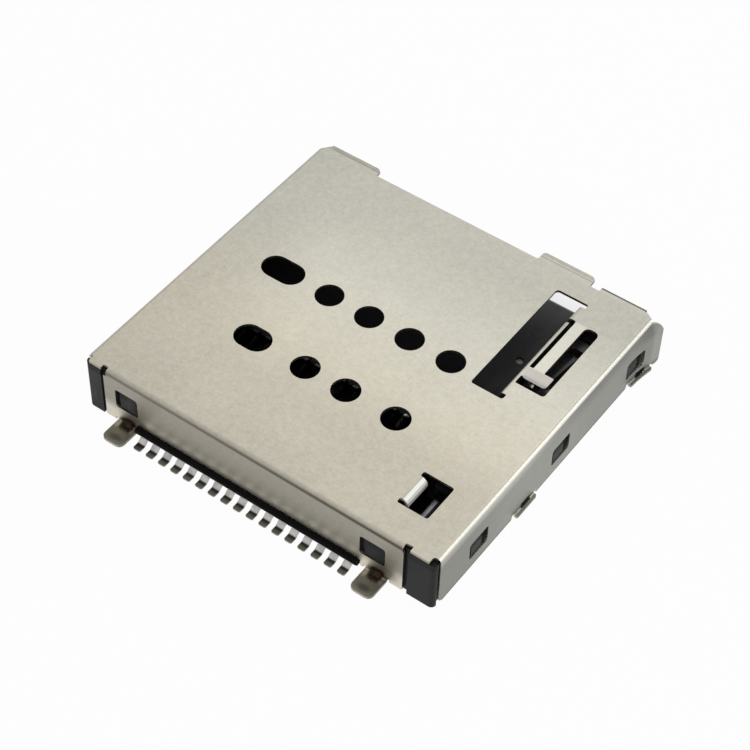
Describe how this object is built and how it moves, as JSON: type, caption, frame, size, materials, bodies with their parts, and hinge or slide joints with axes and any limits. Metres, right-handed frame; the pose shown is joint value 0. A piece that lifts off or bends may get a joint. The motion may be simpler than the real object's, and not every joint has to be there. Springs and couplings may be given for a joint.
{
  "type": "game card slot",
  "caption": "Board-mounted push-push slot for small game cards: folded steel cover over a moulded tray with spring contacts and a sprung, cam-locked slider.",
  "frame": {"origin": "centre of the bounding box at the board face", "axes": "+X along the pin row towards the slider bay, +Y towards the card mouth, +Z away from the board"},
  "size_m": [0.0416, 0.0408, 0.0066],
  "materials": {
    "cover_steel": "satin rolled stainless sheet",
    "housing_plastic": "matt black moulding",
    "contact_tin": "tin-plated spring strip",
    "slider_plastic": "smooth black moulding",
    "link_steel": "bright drawn wire",
    "spring_steel": "drawn spring wire",
    "pin_steel": "ground steel"
  },
  "bodies": {
    "base": {"shell_cover": "cover_steel", "housing": "housing_plastic", "contact_01": "contact_tin", "contact_02": "contact_tin", "contact_03": "contact_tin", "contact_04": "contact_tin", "contact_05": "contact_tin", "contact_06": "contact_tin", "contact_07": "contact_tin", "contact_08": "contact_tin", "contact_09": "contact_tin", "contact_10": "contact_tin", "contact_11": "contact_tin", "contact_12": "contact_tin", "contact_13": "contact_tin", "contact_14": "contact_tin", "contact_15": "contact_tin", "contact_16": "contact_tin", "contact_17": "contact_tin", "return_spring": "spring_steel", "guide_pin": "pin_steel"},
    "slider": {"slider": "slider_plastic"},
    "link": {"cam_link": "link_steel"}
  },
  "joints": [
    {"name": "slider_travel", "type": "slide", "parent": "base", "child": "slider", "axis": [0, -1, 0], "range_m": [0, 0.0055], "stiffness_N_per_m": 200, "deforming": ["return_spring"]},
    {"name": "link_swing", "type": "hinge", "parent": "base", "child": "link", "pos_m": [0.01486, 0.01503, 0.0056], "axis": [0, 0, 1], "range_deg": [0, 3.6]}
  ],
  "couplings": [
    {"joint": "link_swing", "follows": "slider_travel", "rad_per_m": 11.38}
  ]
}
